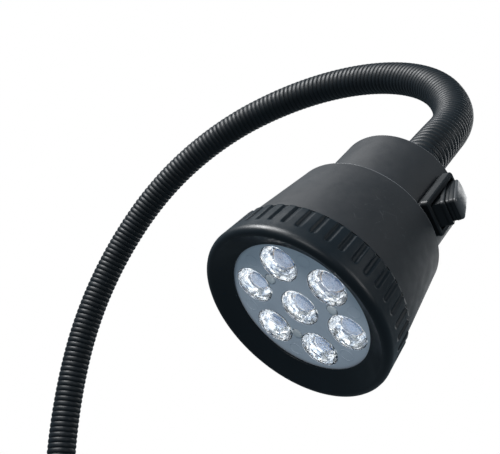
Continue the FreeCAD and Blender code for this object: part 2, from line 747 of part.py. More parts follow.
def make_driver():
    """The driver board on the ledge behind the heat sink, and the parts soldered to it."""
    board = cylinder("driver_disc", d.fin_room_radius - 0.6, DRIVER_BOARD_THICKNESS, at(z=d.ledge_at))
    ways = []
    for index, (x, y) in enumerate(wire_spots()):
        place = at(x * WIRE_SPOT_RATIO, y * WIRE_SPOT_RATIO, d.ledge_at - 2)
        ways.append(cylinder(f"driver_way_{index}", 0.5, 6, place))
    keep(cut("driver_board", board, fuse("driver_ways", *ways)), "driver_board", HEAD_FRAME)
    rear = number(d.ledge_at)
    side = number(d.switch_angle) + 180
    pieces = [
        cylinder("driver_coil", 4.2, 5.5, in_plane(9, side, rear - 5.5)),
        cylinder("driver_capacitor", 3.1, 6.5, in_plane(9.5, side + 70, rear - 6.5)),
        box("driver_chip", 5, 4, 1.5, in_plane(10, side - 70, rear - 1.5)),
        box("driver_rectifier", 6.5, 5, 2.4, in_plane(0, side, rear - 2.4)),
    ]
    keep(group("driver_parts_set", pieces), "driver_parts", HEAD_FRAME)


def in_plane(radius, angle, height):
    x, y = polar(radius, angle)
    return at(x, y, height)


# ---------------------------------------------------------------- rocker switch

def switch_frame():
    """The switch's frame: X towards the head's front, Z straight out of the neck."""
    along = V(0, 0, 1)
    x, y = polar(1, d.switch_angle)
    out = V(x, y, 0)
    turn = Rotation(along, out.cross(along), out, "XZY")
    return HEAD_FRAME * Placement(V(0, 0, number(d.switch_along)), turn)


SWITCH_FRAME = switch_frame()
PIVOT_FRAME = SWITCH_FRAME * at(z=d.rocker_pivot)
ROCKER_FRAME = PIVOT_FRAME * Placement(V(), Rotation(V(0, 1, 0), -number(d.rocker_tilt)))
BLADE_FRAME = SWITCH_FRAME * at(z=d.blade_height) * Placement(V(), Rotation(V(0, 1, 0), number(d.blade_tilt)))
CONTACT_AT = 4.4
CAP_CREST = 6.3
TERMINAL_TIP = 10.4


def make_bezel():
    """The bezel outside the neck, with rounded corners and a broken front edge."""
    bezel = box("bezel_block", d.bezel_length, d.bezel_width, d.bezel_face - d.bezel_back, at(z=d.bezel_back))
    soft = doc.addObject("Part::Fillet", "bezel_soft")
    soft.Base = bezel
    doc.recompute()
    upright = [n for n, e in enumerate(bezel.Shape.Edges, 1) if abs(e.tangentAt(e.FirstParameter).z) > 0.9]
    soft.Edges = [(n, 1.2, 1.2) for n in upright]
    doc.recompute()
    broken = doc.addObject("Part::Chamfer", "bezel_broken")
    broken.Base = soft
    top = number(d.bezel_face)
    rim = [n for n, e in enumerate(soft.Shape.Edges, 1) if all(abs(v.Z - top) < 1e-6 for v in e.Vertexes)]
    broken.Edges = [(n, 0.35, 0.35) for n in rim]
    return broken


def make_switch_housing():
    """The switch's case: a bezel outside the neck and a box body through its wall."""
    case_length = d.bezel_face - d.switch_back - 1
    case = box("switch_case", d.switch_body_length, d.switch_body_width, case_length, at(z=d.switch_back))
    whole = fuse("switch_whole", make_bezel(), case)
    well = box("rocker_well", 15.4, 8.8, 10, at(z=d.rocker_pivot - 6))
    chamber = box("contact_chamber", 12.4, 6.4, 12, at(z=d.switch_back + 1.6))
    across = Placement(V(0, -5.4, number(d.rocker_pivot)), Rotation(V(1, 0, 0), -90))
    trunnion_way = cylinder("trunnion_way", 0.72, 10.8, across)
    slots = []
    for index, x in enumerate((0, CONTACT_AT)):
        slots.append(box(f"terminal_slot_{index}", 0.8, 3.2, 6, at(x, 0, d.switch_back - 2)))
    keep(cut("switch_housing", whole, well, chamber, trunnion_way, *slots), "switch_housing", SWITCH_FRAME)


def add_rocker_bar(rocker, name, radius, length):
    """A round bar across the rocker on its own pivot."""
    sketch = sketch_on(rocker, f"{name}_outline", "XZ_Plane")
    circle(sketch, 0, 0, radius)
    bar = add_pad(rocker, sketch, length, name)
    bar.Midplane = True


def arch_rocker_cap(rocker):
    """Cuts the top of the rocker's cap to a long arch and rounds the arch's rim."""
    half_chord = 6.9
    low = 5.0
    radius = (half_chord ** 2 + (CAP_CREST - low) ** 2) / (2 * (CAP_CREST - low))
    centre = CAP_CREST - radius
    around = radius + 2
    arch = sketch_on(rocker, "rocker_cap_arch_outline", "XZ_Plane")
    circle(arch, 0, centre, radius)
    outline(arch, [
        (-around, centre - around), (around, centre - around),
        (around, centre + around), (-around, centre + around),
    ])
    add_pocket(rocker, arch, "rocker_cap_arch", length=20).Midplane = True
    doc.recompute()
    last = rocker.Tip
    rim = []
    for index, edge in enumerate(last.Shape.Edges, 1):
        reaches = [math.hypot(v.X, v.Z - centre) for v in edge.Vertexes]
        if all(abs(reach - radius) < 1e-4 for reach in reaches):
            rim.append(f"Edge{index}")
    soften = rocker.newObject("PartDesign::Fillet", "rocker_cap_rim")
    soften.Base = (last, rim)
    soften.Radius = 0.4
    rocker.Tip = soften
    doc.recompute()


def make_rocker():
    """The stepped rocker: an arched skirt, a hub on two trunnions, three steps and an arched cap."""
    rocker = new_body("switch_rocker")
    skirt = sketch_on(rocker, "rocker_skirt_outline", "XZ_Plane")
    outline(skirt, [
        (-6.7, -3.3), (-5.7, -3.3), (-3.4, -1.5), (3.4, -1.5), (5.7, -3.3), (6.7, -3.3),
        (6.7, 0.8), (-6.7, 0.8),
    ])
    lower = add_pad(rocker, skirt, 7.4, "rocker_skirt")
    lower.Midplane = True
    add_rocker_bar(rocker, "rocker_hub", 2.3, 8.0)
    add_rocker_bar(rocker, "rocker_trunnions", 0.65, 10.4)
    steps = [(7.35, 4.1, 0.5, 1.4), (6.5, 3.5, 1.7, 1.4), (6.8, 3.6, 2.9, 1.4), (6.9, 3.5, 4.2, 2.2)]
    for index, (half_length, half_width, foot, height) in enumerate(steps):
        face = sketch_on(rocker, f"rocker_step_outline_{index}", "XY_Plane", at(z=foot))
        rounded_rectangle(face, half_length, half_width, 1.1)
        add_pad(rocker, face, height, f"rocker_step_{index}")
    arch_rocker_cap(rocker)
    bore = sketch_on(rocker, "plunger_bore_outline", "XY_Plane", at(z=-3))
    circle(bore, 0, 0, 1.1)
    add_pocket(rocker, bore, "plunger_bore", length=6.2, reverse=True)
    keep(rocker, "switch_rocker", ROCKER_FRAME)


def make_plunger():
    """The sprung plunger in the rocker, with a ball tip that rides on the contact blade."""
    shaft = cylinder("plunger_shaft", 0.95, 3.9, at(z=-5.3))
    tip = primitive("Sphere", "plunger_tip", at(z=-5.3), Radius=0.95)
    keep(fuse("switch_plunger_solid", shaft, tip), "switch_plunger", ROCKER_FRAME)
    coil_outer = cylinder("spring_outer", 0.95, 4.5, at(z=-1.35))
    coil_inner = cylinder("spring_inner", 0.6, 4.5, at(z=-1.35))
    keep(cut("switch_spring_tube", coil_outer, coil_inner), "switch_spring", ROCKER_FRAME)


def rounded_rectangle(sketch, half_length, half_width, corner):
    """A rectangle about the sketch's origin, with its corners taken off by short edges."""
    soft = corner * (1 - math.sqrt(0.5))
    points = []
    for across, up in ((1, -1), (1, 1), (-1, 1), (-1, -1)):
        ends = [
            (across * (half_length - corner), up * half_width),
            (across * (half_length - soft), up * (half_width - soft)),
            (across * half_length, up * (half_width - corner)),
        ]
        points += ends if across * up < 0 else ends[::-1]
    outline(sketch, points)


def make_contacts():
    """The contact blade that the plunger tips over, and the two terminals."""
    blade = box("blade_plate", 10.4, 3, 0.4, at(z=-0.2))
    keep(fuse("switch_blade_solid", blade, box("blade_pad", 1.2, 1.6, 0.3, at(CONTACT_AT, 0, -0.45))),
         "switch_blade", BLADE_FRAME)
    terminals = []
    for index, (x, top) in enumerate(((0, 16.9), (CONTACT_AT, 16.2))):
        terminals.append(box(f"terminal_{index}", 0.5, 2.8, top - TERMINAL_TIP, at(x, 0, TERMINAL_TIP)))
    keep(group("switch_terminals_set", terminals), "switch_terminals", SWITCH_FRAME)


def wire_runs():
    """The corner points of each wire: lead to switch, switch to driver, lead to driver, and driver to LEDs."""
    lead_end = number(d.neck_insert) + 5
    board = number(d.ledge_at)
    board_front = board + DRIVER_BOARD_THICKNESS
    to_head = HEAD_FRAME.inverse() * SWITCH_FRAME
    tips = [(to_head * at(x, 0, TERMINAL_TIP)).Base for x in (0, CONTACT_AT)]
    near = [(to_head * at(x, 0, TERMINAL_TIP - 1.1)).Base for x in (0, CONTACT_AT)]
    runs = [
        [V(-1, -1, lead_end), V(-1, -1, lead_end + 4.5), near[0], tips[0]],
        [tips[1], near[1], V(5.5, 7, board - 4), V(5.5, 7, board)],
        [V(1, 1, lead_end), V(1, 1, lead_end + 4), V(-4, 7, board - 4), V(-4, 7, board)],
    ]
    for x, y in wire_spots():
        low_x = x * WIRE_SPOT_RATIO
        low_y = y * WIRE_SPOT_RATIO
        rise = V(low_x, low_y, board_front + 1)
        turn = V(x, y, board_front + 2.3)
        runs.append([V(low_x, low_y, board_front), rise, turn, V(x, y, number(d.board_front) + 0.3)])
    return runs


def make_head_wires():
    """The short wires inside the head."""
    wires = []
    for index, run in enumerate(wire_runs()):
        item = doc.addObject("Part::Feature", f"head_wire_{index}")
        item.Shape = piped(run, 0.6)
        wires.append(item)
    keep(group("head_wires_set", wires), "head_wires", HEAD_FRAME)


def piped(points, radius):
    """A round wire along straight runs with a ball at each turn."""
    solid = None
    for start, end in zip(points, points[1:]):
        rod = Part.makeCylinder(radius, (end - start).Length, start, end - start)
        ball = Part.makeSphere(radius, end)
        solid = rod if solid is None else solid.fuse(rod)
        if end is not points[-1]:
            solid = solid.fuse(ball)
    return solid.removeSplitter()


# ---------------------------------------------------------------- build, check and write

def build():
    make_base_pad()
    make_base_flange()
    make_gland_body()
    make_gland_seal()
    make_gland_nut()
    make_lower_ferrule()
    make_lower_lock_nut()
    make_grub_screws()
    for index in range(1, LINK_COUNT + 1):
        make_gooseneck_link(index)
    make_head_housing()
    make_upper_end()
    make_front_ring()
    make_heat_sink()
    make_led_board()
    make_led_chips()
    make_lens_plate()
    make_lens_screws()
    make_lens_gasket()
    make_driver()
    make_switch_housing()
    make_rocker()
    make_plunger()
    make_contacts()
    make_head_wires()
    doc.recompute()


def check_and_write():
    """Stops if anything failed, and writes one STEP file for each sub-part."""
    for item in doc.Objects:
        if any(word in item.State for word in ("Invalid", "Error")):
            raise RuntimeError(f"{item.Label} failed: {item.State}")
    for item in sub_parts:
        shape = item.Shape
        if shape.isNull() or not shape.isValid() or not shape.Solids:
            raise RuntimeError(f"{item.Label} has no valid solid")
    os.makedirs("parts", exist_ok=True)
    for item in sub_parts:
        item.Shape.exportStep(os.path.join("parts", f"{item.Label}.step"))


build()
check_and_write()
print(f"{len(sub_parts)} sub-parts written")
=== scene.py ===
import json
import math

import bpy
from mathutils import Matrix, Vector


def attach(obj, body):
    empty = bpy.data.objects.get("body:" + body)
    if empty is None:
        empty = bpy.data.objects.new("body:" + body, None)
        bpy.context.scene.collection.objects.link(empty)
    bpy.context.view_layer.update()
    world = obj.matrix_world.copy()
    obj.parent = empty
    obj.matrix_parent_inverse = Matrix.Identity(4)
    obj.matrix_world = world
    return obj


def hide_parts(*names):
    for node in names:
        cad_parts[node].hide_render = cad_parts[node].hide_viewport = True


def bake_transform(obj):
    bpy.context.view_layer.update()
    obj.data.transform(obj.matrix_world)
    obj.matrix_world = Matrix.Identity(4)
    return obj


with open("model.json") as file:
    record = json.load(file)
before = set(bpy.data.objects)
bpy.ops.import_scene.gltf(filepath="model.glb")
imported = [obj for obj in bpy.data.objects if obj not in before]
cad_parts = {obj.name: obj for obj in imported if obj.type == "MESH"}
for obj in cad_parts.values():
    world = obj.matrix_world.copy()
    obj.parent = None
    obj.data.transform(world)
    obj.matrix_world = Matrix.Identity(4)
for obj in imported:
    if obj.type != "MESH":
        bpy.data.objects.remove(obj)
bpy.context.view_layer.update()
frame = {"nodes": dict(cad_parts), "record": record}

# The looks of a flexible-arm LED spotlight, in metres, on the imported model's bodies.

MM = 0.001

# ---------------------------------------------------------------- sizes, in millimetres

FERRULE_TOP = 62.0
FOOT_RISE = 38.0
ARM_START = FERRULE_TOP + FOOT_RISE
LINK_LENGTH = 49.0
BENDS = [10, 14, 18, 22, 20, 20, 26, 32, 29, 15]
HEADINGS = [-64, -60, -77, -74, -75, -88, -98, -104, -132, -66]

RIBS_PER_LINK = 17
RIB_PITCH = LINK_LENGTH / RIBS_PER_LINK
SLEEVE_RADIUS = 8.0
RIB_DEPTH = 0.7
SLEEVE_INSIDE = 6.6

SWITCH_ANGLE = 78.5
SWITCH_ALONG = 13.4
ROCKER_PIVOT = 23.9
ROCKER_TILT = 21.0

LENS_ANGLE = 163.2
LENS_CIRCLE = 15.0
WINDOW_RADIUS = 6.02
POST_ANGLE = 73.2
POST_CIRCLE = 11.3
MARK_ANGLE = 13.2
MARK_CIRCLE = 18.4

GROOVE_COUNT = 44
GROOVE_HALF_WIDTH = 0.72
GROOVE_DEPTH = 0.62
GROOVE_END = 60.7
GROOVE_FLOOR = 28.22

CAP_CREST = 6.3
CAP_HALF_CHORD = 6.9
CAP_RISE = 1.3

SCRATCHED_SPOT = (-9.1, 25.1, 39.0)

# Edges that turn by more than this many degrees are sharp. The small one leaves every face flat.
FACETED = 1
CRISP = 30


# ---------------------------------------------------------------- places along the arm

def turned(degrees, axis="Z"):
    return Matrix.Rotation(math.radians(degrees), 4, axis)


def along_link(index, distance):
    """The frame at a distance along a link, seen from its own start, where it bends towards +X."""
    bend = math.radians(BENDS[index])
    radius = LINK_LENGTH / bend
    angle = distance / radius
    place = Matrix.Translation((radius * (1 - math.cos(angle)), 0, radius * math.sin(angle)))
    return place @ Matrix.Rotation(angle, 4, "Y")


def arm_frames():
    """The frame at the start of each link, and the head's frame at the end of the last one."""
    frames = []
    here = Matrix.Translation((0, 0, ARM_START))
    for index, heading in enumerate(HEADINGS):
        frames.append(here @ turned(heading))
        here = frames[-1] @ along_link(index, LINK_LENGTH) @ turned(-heading)
    return frames, here


LINK_FRAMES, HEAD = arm_frames()


def arm_place(distance):
    """The frame on the arm's middle line, without the twist of each link's own heading."""
    if distance < 0:
        return Matrix.Translation((0, 0, ARM_START + distance))
    total = LINK_LENGTH * len(BENDS)
    if distance > total:
        return HEAD @ Matrix.Translation((0, 0, distance - total))
    index = min(int(distance / LINK_LENGTH), len(BENDS) - 1)
    local = along_link(index, distance - index * LINK_LENGTH)
    return LINK_FRAMES[index] @ local @ turned(-HEADINGS[index])


# ---------------------------------------------------------------- mesh helpers

def add_mesh(name, points, faces, material, place=None, sharp=None):
    """A mesh object from points in millimetres, placed by a frame that is also in millimetres."""
    place = place or Matrix.Identity(4)
    mesh = bpy.data.meshes.new(name)
    mesh.from_pydata([(place @ Vector(p)) * MM for p in points], [], faces)
    mesh.validate()
    mesh.shade_smooth()
    if sharp is not None:
        mesh.set_sharp_from_angle(angle=math.radians(sharp))
    piece = bpy.data.objects.new(name, mesh)
    bpy.context.scene.collection.objects.link(piece)
    mesh.materials.append(material)
    return piece


def loops_mesh(name, loops, material, place=None, closed=True, sharp=None, caps=False):
    """Skins a list of equal rings of points. Closed joins the last ring to the first."""
    count = len(loops[0])
    points = [p for loop in loops for p in loop]
    faces = []
    last = len(loops) if closed else len(loops) - 1
    for row in range(last):
        low = row * count
        high = (row + 1) % len(loops) * count
        for i in range(count):
            j = (i + 1) % count
            faces.append((low + i, low + j, high + j, high + i))
    if caps:
        faces.append(tuple(reversed(range(count))))
        faces.append(tuple(range((len(loops) - 1) * count, len(loops) * count)))
    return add_mesh(name, points, faces, material, place, sharp)


def ring_points(radius, height, count):
    step = 2 * math.pi / count
    return [(radius * math.cos(i * step), radius * math.sin(i * step), height) for i in range(count)]


def scatter(seed, index):
    """A fixed fraction from 0 to 1 that jumps about from one index to the next."""
    wave = math.sin(seed * 12.9898 + index * 78.233) * 43758.5453
    return wave - math.floor(wave)


def uneven(points, seed, amount):
    """The same ring of points with small, fixed differences in reach, for cut and glittering faces."""
    moved = []
    for index, (x, y, z) in enumerate(points):
        reach = 1 - amount * scatter(seed, index)
        moved.append((x * reach, y * reach, z))
    return moved


def revolve(name, profile, material, place=None, count=128, sharp=None):
    """Turns a closed outline of (radius, height) points about Z."""
    return loops_mesh(name, [ring_points(r, z, count) for r, z in profile], material, place, True, sharp)


def rounded_rectangle(half_x, half_y, corner, height, steps=6):
    """A ring of points round a rectangle with round corners."""
    points = []
    for quarter, (sx, sy) in enumerate(((1, 1), (-1, 1), (-1, -1), (1, -1))):
        for step in range(steps + 1):
            angle = math.radians(90 * quarter + 90 * step / steps)
            x = sx * (half_x - corner) + corner * math.cos(angle)
            y = sy * (half_y - corner) + corner * math.sin(angle)
            points.append((x, y, height))
    return points


def soft_stack(steps, edge=0.25):
    """Rings for a stack of rounded rectangles, each given as (half x, half y, corner, low, high)."""
    rings = []
    slight = edge * 0.3
    for half_x, half_y, corner, low, high in steps:
        tight = max(corner - edge, 0.1)
        for inset, rounding, height in ((edge, tight, low), (slight, corner, low + slight),
                                        (0, corner, low + edge), (0, corner, high - edge),
                                        (slight, corner, high - slight), (edge, tight, high)):
            rings.append(rounded_rectangle(half_x - inset, half_y - inset, rounding, height))
    return rings


# ---------------------------------------------------------------- materials

def shade(rgb, factor):
    return (rgb[0] * factor, rgb[1] * factor, rgb[2] * factor, 1.0)


class Nodes:
    """A short way to make and join shader nodes."""

    def __init__(self, name):
        self.material = bpy.data.materials.new(name)
        self.material.use_nodes = True
        self.tree = self.material.node_tree
        self.shader = self.tree.nodes["Principled BSDF"]
        self.coordinates = self.add("ShaderNodeTexCoord").outputs["Object"]

    def add(self, kind, **settings):
        node = self.tree.nodes.new(kind)
        for key, value in settings.items():
            setattr(node, key, value)
        return node

    def join(self, source, target):
        self.tree.links.new(source, target)

    def noise(self, scale, detail=3.0):
        node = self.add("ShaderNodeTexNoise")
        self.join(self.coordinates, node.inputs["Vector"])
        node.inputs["Scale"].default_value = scale
        node.inputs["Detail"].default_value = detail
        return node.outputs["Fac"]

    def ramp(self, source, stops):
        node = self.add("ShaderNodeValToRGB")
        self.join(source, node.inputs["Fac"])
        elements = node.color_ramp.elements
        while len(elements) < len(stops):
            elements.new(0.5)
        for element, (place, colour) in zip(elements, stops):
            element.position = place
            element.color = colour
        return node.outputs["Color"]

    def spread(self, source, low, high, source_low=0.3, source_high=0.7):
        node = self.add("ShaderNodeMapRange")
        self.join(source, node.inputs["Value"])
        node.inputs["From Min"].default_value = source_low
        node.inputs["From Max"].default_value = source_high
        node.inputs["To Min"].default_value = low
        node.inputs["To Max"].default_value = high
        return node.outputs["Result"]

    def multiply(self, first, second):
        node = self.add("ShaderNodeMath", operation="MULTIPLY")
        self.join(first, node.inputs[0])
        self.join(second, node.inputs[1])
        return node.outputs[0]

    def mix(self, factor, source, colour):
        """The source's colour where the factor is 0, and the given colour where it is 1."""
        node = self.add("ShaderNodeMix", data_type="RGBA")
        self.join(factor, node.inputs["Factor"])
        self.join(source, node.inputs[6])
        node.inputs[7].default_value = colour
        return node.outputs[2]

    def bump(self, height, distance, strength):
        node = self.add("ShaderNodeBump")
        self.join(height, node.inputs["Height"])
        node.inputs["Distance"].default_value = distance
        node.inputs["Strength"].default_value = strength
        self.join(node.outputs["Normal"], self.shader.inputs["Normal"])

    def colour(self, scale, detail, low, high):
        """Cloudy base colour between two stops, each of them (place, colour)."""
        self.join(self.ramp(self.noise(scale, detail), [low, high]), self.shader.inputs["Base Color"])

    def gloss(self, scale, detail, low, high):
        """Roughness that wanders between two values."""
        self.join(self.spread(self.noise(scale, detail), low, high), self.shader.inputs["Roughness"])

    def set(self, **values):
        for key, value in values.items():
            self.shader.inputs[key.replace("_", " ")].default_value = value


GLOSS_SPREAD = 0.06


def plain(name, colour, rough, grain=3000.0, grain_depth=0.00002, variation=0.12, metallic=0.0,
          specular=0.5, strength=0.4):
    """A moulded, painted or turned surface: fine grain, slow changes of colour and uneven gloss."""
    n = Nodes(name)
    n.colour(90.0, 4.0, (0.3, shade(colour, 1 - variation)), (0.7, shade(colour, 1 + variation)))
    n.gloss(260.0, 5.0, rough - GLOSS_SPREAD, rough + GLOSS_SPREAD)
    n.bump(n.noise(grain, 2.0), grain_depth, strength)
    n.set(Metallic=metallic, Specular_IOR_Level=specular)
    return n.material


def scratches(n):
    """Hair lines, broken here and there, within about a centimetre of the rubbed spot on the housing."""
    node = frame["nodes"]["head_housing"]
    spot = node.matrix_world.inverted() @ (HEAD @ Vector(SCRATCHED_SPOT) * MM)
    stretch = n.add("ShaderNodeMapping")
    n.join(n.coordinates, stretch.inputs["Vector"])
    stretch.inputs["Rotation"].default_value = (0.4, 0.9, 0.3)
    stretch.inputs["Scale"].default_value = (1.0, 0.16, 1.0)
    cracks = n.add("ShaderNodeTexVoronoi", feature="DISTANCE_TO_EDGE")
    n.join(stretch.outputs["Vector"], cracks.inputs["Vector"])
    cracks.inputs["Scale"].default_value = 260.0
    line = n.spread(cracks.outputs["Distance"], 1.0, 0.0, 0.0, 0.009)
    away = n.add("ShaderNodeVectorMath", operation="DISTANCE")
    n.join(n.coordinates, away.inputs[0])
    away.inputs[1].default_value = spot
    patch = n.spread(away.outputs["Value"], 1.0, 0.0, 0.006, 0.011)
    broken = n.spread(n.noise(500.0, 1.0), 0.0, 1.0, 0.50, 0.60)
    return n.multiply(n.multiply(line, patch), broken)


def black_housing():
    """Satin black housing with a fine matt grain and a few hair scratches at one rubbed spot."""
    colour = (0.017, 0.019, 0.022)
    n = Nodes("satin_black_housing")
    base = n.ramp(n.noise(60.0, 5.0), [(0.3, shade(colour, 0.88)), (0.7, shade(colour, 1.14))])
    n.join(n.mix(scratches(n), base, (0.075, 0.079, 0.084, 1.0)), n.shader.inputs["Base Color"])
    n.gloss(300.0, 5.0, 0.46, 0.58)
    n.bump(n.noise(5200.0, 2.0), 0.000012, 0.35)
    n.set(Specular_IOR_Level=0.35)
    return n.material


def frosted_plate():
    """The lens plate between the windows: clear acrylic with a fine spark-eroded frosting."""
    n = Nodes("frosted_lens_plate")
    n.colour(120.0, 3.0, (0.3, (0.72, 0.77, 0.86, 1)), (0.7, (0.82, 0.87, 0.96, 1)))
    n.gloss(900.0, 3.0, 0.36, 0.50)
    n.bump(n.noise(4200.0, 2.0), 0.00003, 0.5)
    n.set(Specular_IOR_Level=0.6)
    return n.material


def mirror_cup():
    """The collimator's wall as a mirror-like metal, its colour painted in patches from blue-grey to near
    white: painted reflections and glints of the clear lens.
    """
    n = Nodes("bright_cup")
    n.colour(700.0, 3.0, (0.35, (0.26, 0.32, 0.40, 1)), (0.65, (0.98, 0.95, 0.91, 1)))
    n.gloss(1500.0, 2.0, 0.05, 0.16)
    n.bump(n.noise(1500.0, 2.0), 0.00005, 0.3)
    n.set(Metallic=1.0)
    return n.material


def lens_heart():
    """The smooth lens over an LED, its blue-grey colour a painted reflection, seen against the dark behind
    it.
    """
    n = Nodes("lens_heart")
    n.colour(350.0, 2.0, (0.3, (0.032, 0.072, 0.16, 1)), (0.7, (0.11, 0.19, 0.33, 1)))
    n.gloss(800.0, 3.0, 0.06, 0.12)
    n.bump(n.noise(300.0, 1.0), 0.00003, 0.2)
    n.set(Specular_IOR_Level=0.7)
    return n.material


def lens_tail():
    """The narrow end of the cup, painted with broken warm patches: a painted reflection of the LED's
    phosphor.
    """
    n = Nodes("lens_tail")
    n.colour(900.0, 2.0, (0.42, (0.06, 0.05, 0.05, 1)), (0.56, (0.72, 0.50, 0.34, 1)))
    n.gloss(800.0, 3.0, 0.2, 0.35)
    return n.material


def clear_lens():
    """Polished clear acrylic."""
    n = Nodes("clear_acrylic")
    n.colour(200.0, 3.0, (0.3, (0.93, 0.96, 0.99, 1)), (0.7, (0.99, 1.0, 1.0, 1)))
    n.gloss(800.0, 3.0, 0.02, 0.05)
    n.bump(n.noise(420.0, 1.0), 0.00002, 0.25)
    n.set(IOR=1.49, Transmission_Weight=1.0)
    return n.material


def phosphor():
    """The yellow phosphor and white case of an LED."""
    n = Nodes("led_phosphor")
    n.colour(2500.0, 3.0, (0.3, (0.80, 0.52, 0.16, 1)), (0.7, (0.92, 0.70, 0.30, 1)))
    n.gloss(900.0, 3.0, 0.3, 0.5)
    n.set(Specular_IOR_Level=0.6)
    return n.material


HOUSING = black_housing()
RING = plain("satin_black_ring", (0.004, 0.0075, 0.011), 0.38, grain=4200.0, grain_depth=0.00003,
             specular=0.30, strength=0.5)
SLEEVE = plain("satin_black_sleeve", (0.0025, 0.0050, 0.0075), 0.48, grain=900.0, grain_depth=0.000004,
               variation=0.2, specular=0.28, strength=0.1)
PLATE = frosted_plate()
CUP = mirror_cup()
CLEAR = clear_lens()
HEART = lens_heart()
TAIL = lens_tail()
# Painted glint: the clear posts' cut ends are coloured near white.
POST = plain("clear_post_end", (0.92, 0.94, 0.96), 0.12, grain=1500.0, variation=0.25, specular=0.9)
# Painted highlight: a pale grey for the housing's edges, where they catch the light.
PAINTED_EDGE_HIGHLIGHT = plain("painted_edge_highlight_grey", (0.13, 0.135, 0.145), 0.40, grain=2500.0, variation=0.3)
SWITCH_BODY = plain("moulded_black_switch", (0.006, 0.008, 0.010), 0.46, grain=3500.0, specular=0.3,
                    strength=0.25)
SWITCH_CAP = plain("polished_black_cap", (0.045, 0.047, 0.050), 0.30, grain=2000.0, grain_depth=0.000004,
                   strength=0.1)

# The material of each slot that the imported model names.
SLOT_MATERIALS = {
    "pad_rubber": plain("base_pad_rubber", (0.02, 0.02, 0.021), 0.8, grain=1800.0, grain_depth=0.00006),
    "base_paint": plain("powder_coat", (0.022, 0.023, 0.026), 0.5, grain=1500.0, grain_depth=0.00005,
                        strength=0.6),
    "black_anodised": HOUSING,
    "ring_anodised": RING,
    "gland_plastic": plain("gland_nylon", (0.018, 0.018, 0.02), 0.5),
    "seal_rubber": plain("soft_seal_rubber", (0.014, 0.014, 0.015), 0.75),
    "screw_steel": plain("bright_screw_steel", (0.72, 0.73, 0.75), 0.18, grain=2500.0, metallic=1.0),
    "arm_sleeve": SLEEVE,
    "arm_core": plain("oiled_spring_steel", (0.25, 0.25, 0.26), 0.35, metallic=1.0),
    "lead_sheath": plain("lead_sheath_rubber", (0.03, 0.03, 0.03), 0.6),
    "bush_brass": plain("turned_brass", (0.62, 0.45, 0.18), 0.28, metallic=1.0),
    "sink_aluminium": plain("cast_aluminium", (0.62, 0.63, 0.65), 0.42, metallic=1.0, grain_depth=0.00005),
    "thermal_pad": plain("grey_thermal_pad", (0.42, 0.44, 0.48), 0.75),
    "led_board": plain("white_solder_mask", (0.78, 0.79, 0.78), 0.4),
    "led_chips": phosphor(),
    "lens_clear": PLATE,
    "driver_board": plain("green_solder_mask", (0.02, 0.16, 0.06), 0.35),
    "driver_parts": plain("moulded_parts", (0.03, 0.03, 0.035), 0.5),
    "wire_sheath": plain("wire_pvc", (0.45, 0.03, 0.02), 0.4),
    "switch_case": SWITCH_BODY,
    "switch_cap": SWITCH_CAP,
    "switch_plunger": plain("white_acetal", (0.72, 0.72, 0.7), 0.45),
    "switch_metal": plain("tinned_brass", (0.62, 0.57, 0.44), 0.3, metallic=1.0),
}
for entry in frame["record"]["subparts"]:
    for slot in frame["nodes"][entry["node"]].material_slots:
        slot.material = SLOT_MATERIALS[entry["material_slot"]]


# ---------------------------------------------------------------- gooseneck sleeve

# One rib is half an ellipse: fractions of its pitch, and how far below its crest it is at each of them.
RIB_STEPS = (0.0, 0.03, 0.08, 0.16, 0.27, 0.4, 0.5, 0.6, 0.73, 0.84, 0.92, 0.97)
RIB_SHAPE = [(u, 1 - math.sqrt(1 - (2 * u - 1) ** 2)) for u in RIB_STEPS]


def sleeve_piece(name, start, end):
    """A length of ribbed sleeve between two distances along the arm, each of them in a groove."""
    ribs = round((end - start) / RIB_PITCH)
    pitch = (end - start) / ribs
    outer = []
    for rib in range(ribs):
        outer += [(start + (rib + u) * pitch, SLEEVE_RADIUS - RIB_DEPTH * drop) for u, drop in RIB_SHAPE]
    outer.append((end, SLEEVE_RADIUS - RIB_DEPTH))
    inner = [(start + (end - start) * step / 12, SLEEVE_INSIDE) for step in range(12, -1, -1)]
    loops = []
    for distance, radius in outer + inner:
        place = arm_place(distance)
        loops.append([place @ Vector(p) for p in ring_points(radius, 0, 56)])
    return loops_mesh(name, loops, SLEEVE)


def dress_arm():
    """The sleeve's ten lengths, each cut half-way along an arc, so that a joint is inside a length."""
    middle = LINK_LENGTH / 2
    total = LINK_LENGTH * len(BENDS)
    foot = sleeve_piece("sleeve_foot", middle - 25 * RIB_PITCH, middle)
    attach(foot, "base")
    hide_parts("sleeve_01")
    for index in range(len(BENDS) - 1):
        start = middle + index * LINK_LENGTH
        piece = sleeve_piece(f"sleeve_bend_{index + 1}", start, start + LINK_LENGTH)
        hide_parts(f"sleeve_{index + 2:02d}")
        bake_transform(piece)
    top = sleeve_piece("sleeve_top", total - middle, total - middle + 11 * RIB_PITCH)
    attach(top, "head")


# ---------------------------------------------------------------- front ring

def groove_depth(away, z):
    """How deep a scooped groove is at a distance from its middle line and a height along the ring."""
    past = max(0.0, z - (GROOVE_END - GROOVE_HALF_WIDTH))
    reach = math.hypot(away, past) / GROOVE_HALF_WIDTH
    depth = GROOVE_DEPTH * min(1.0, max(0.0, (1.32 - reach) / 0.72))
    return depth * depth * (3 - 2 * depth / GROOVE_DEPTH) / GROOVE_DEPTH if depth > 0 else 0.0


